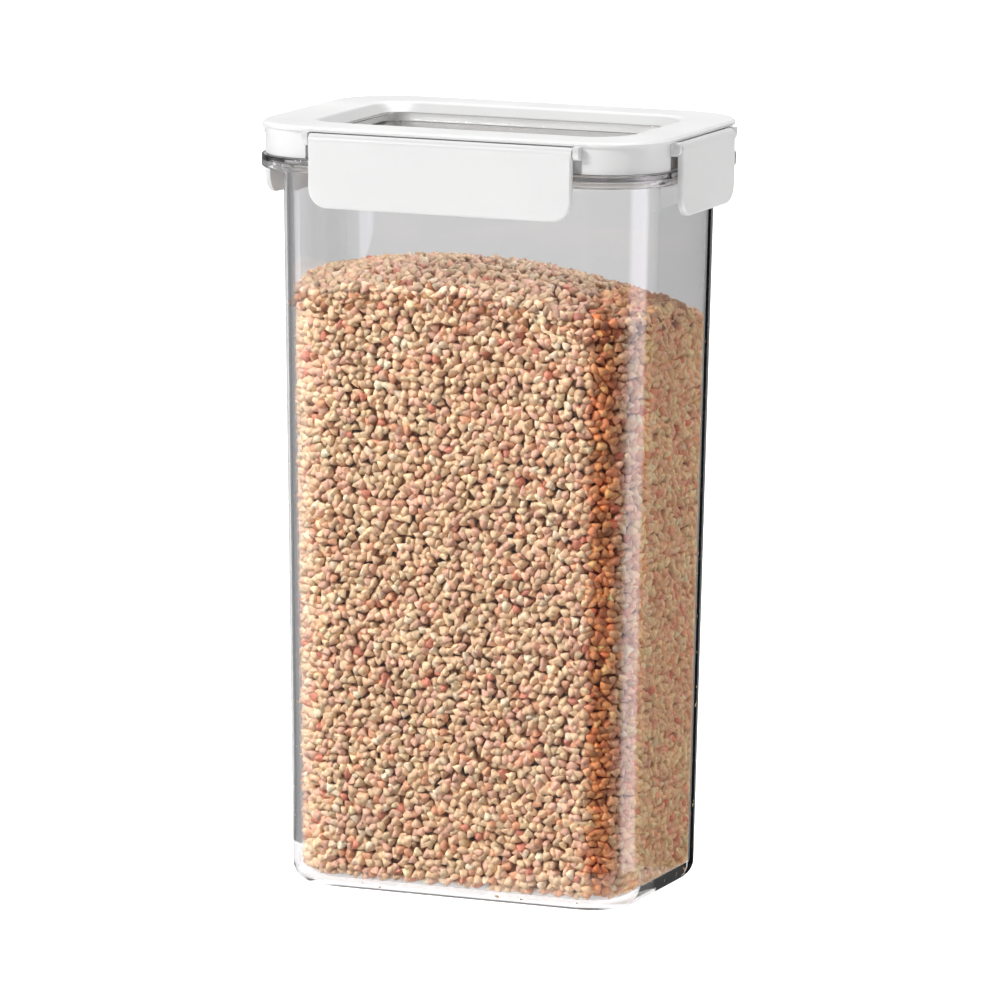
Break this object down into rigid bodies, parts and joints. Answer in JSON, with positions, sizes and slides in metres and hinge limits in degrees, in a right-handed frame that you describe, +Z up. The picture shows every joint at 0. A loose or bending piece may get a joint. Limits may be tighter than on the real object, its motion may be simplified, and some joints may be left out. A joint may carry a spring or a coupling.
{
  "type": "food storage container",
  "caption": "Tall clear rounded-rectangular food jar with a white lid that has a sloped recess, a clear window and hinged locking flaps on all sides.",
  "frame": {"origin": "centre of the jar's foot, on the surface that it stands on", "axes": "+Z up, +X along the long side, front faces -Y"},
  "size_m": [0.1332, 0.0942, 0.23],
  "materials": {
    "clear_plastic": "clear, polished",
    "white_plastic": "satin white",
    "silicone": "matt translucent",
    "pin_steel": "drawn wire"
  },
  "bodies": {
    "jar": {"jar": "clear_plastic"},
    "lid": {"lid_frame": "white_plastic", "lid_window": "clear_plastic", "seal_ring": "silicone", "front_hinge_pin": "pin_steel", "back_hinge_pin": "pin_steel", "left_hinge_pin": "pin_steel", "right_hinge_pin": "pin_steel"},
    "front_latch": {"front_latch": "white_plastic"},
    "back_latch": {"back_latch": "white_plastic"},
    "left_latch": {"left_latch": "white_plastic"},
    "right_latch": {"right_latch": "white_plastic"}
  },
  "joints": [
    {"name": "lid_lift", "type": "slide", "parent": "jar", "child": "lid", "axis": [0, 0, 1], "range_m": [0, 0.12]},
    {"name": "front_latch_hinge", "type": "hinge", "parent": "lid", "child": "front_latch", "pos_m": [0, -0.0451, 0.2263], "axis": [-1, 0, 0], "range_deg": [0, 110]},
    {"name": "back_latch_hinge", "type": "hinge", "parent": "lid", "child": "back_latch", "pos_m": [0, 0.0451, 0.2263], "axis": [1, 0, 0], "range_deg": [0, 110]},
    {"name": "left_latch_hinge", "type": "hinge", "parent": "lid", "child": "left_latch", "pos_m": [-0.0646, 0, 0.2263], "axis": [0, 1, 0], "range_deg": [0, 110]},
    {"name": "right_latch_hinge", "type": "hinge", "parent": "lid", "child": "right_latch", "pos_m": [0.0646, 0, 0.2263], "axis": [0, -1, 0], "range_deg": [0, 110]}
  ]
}
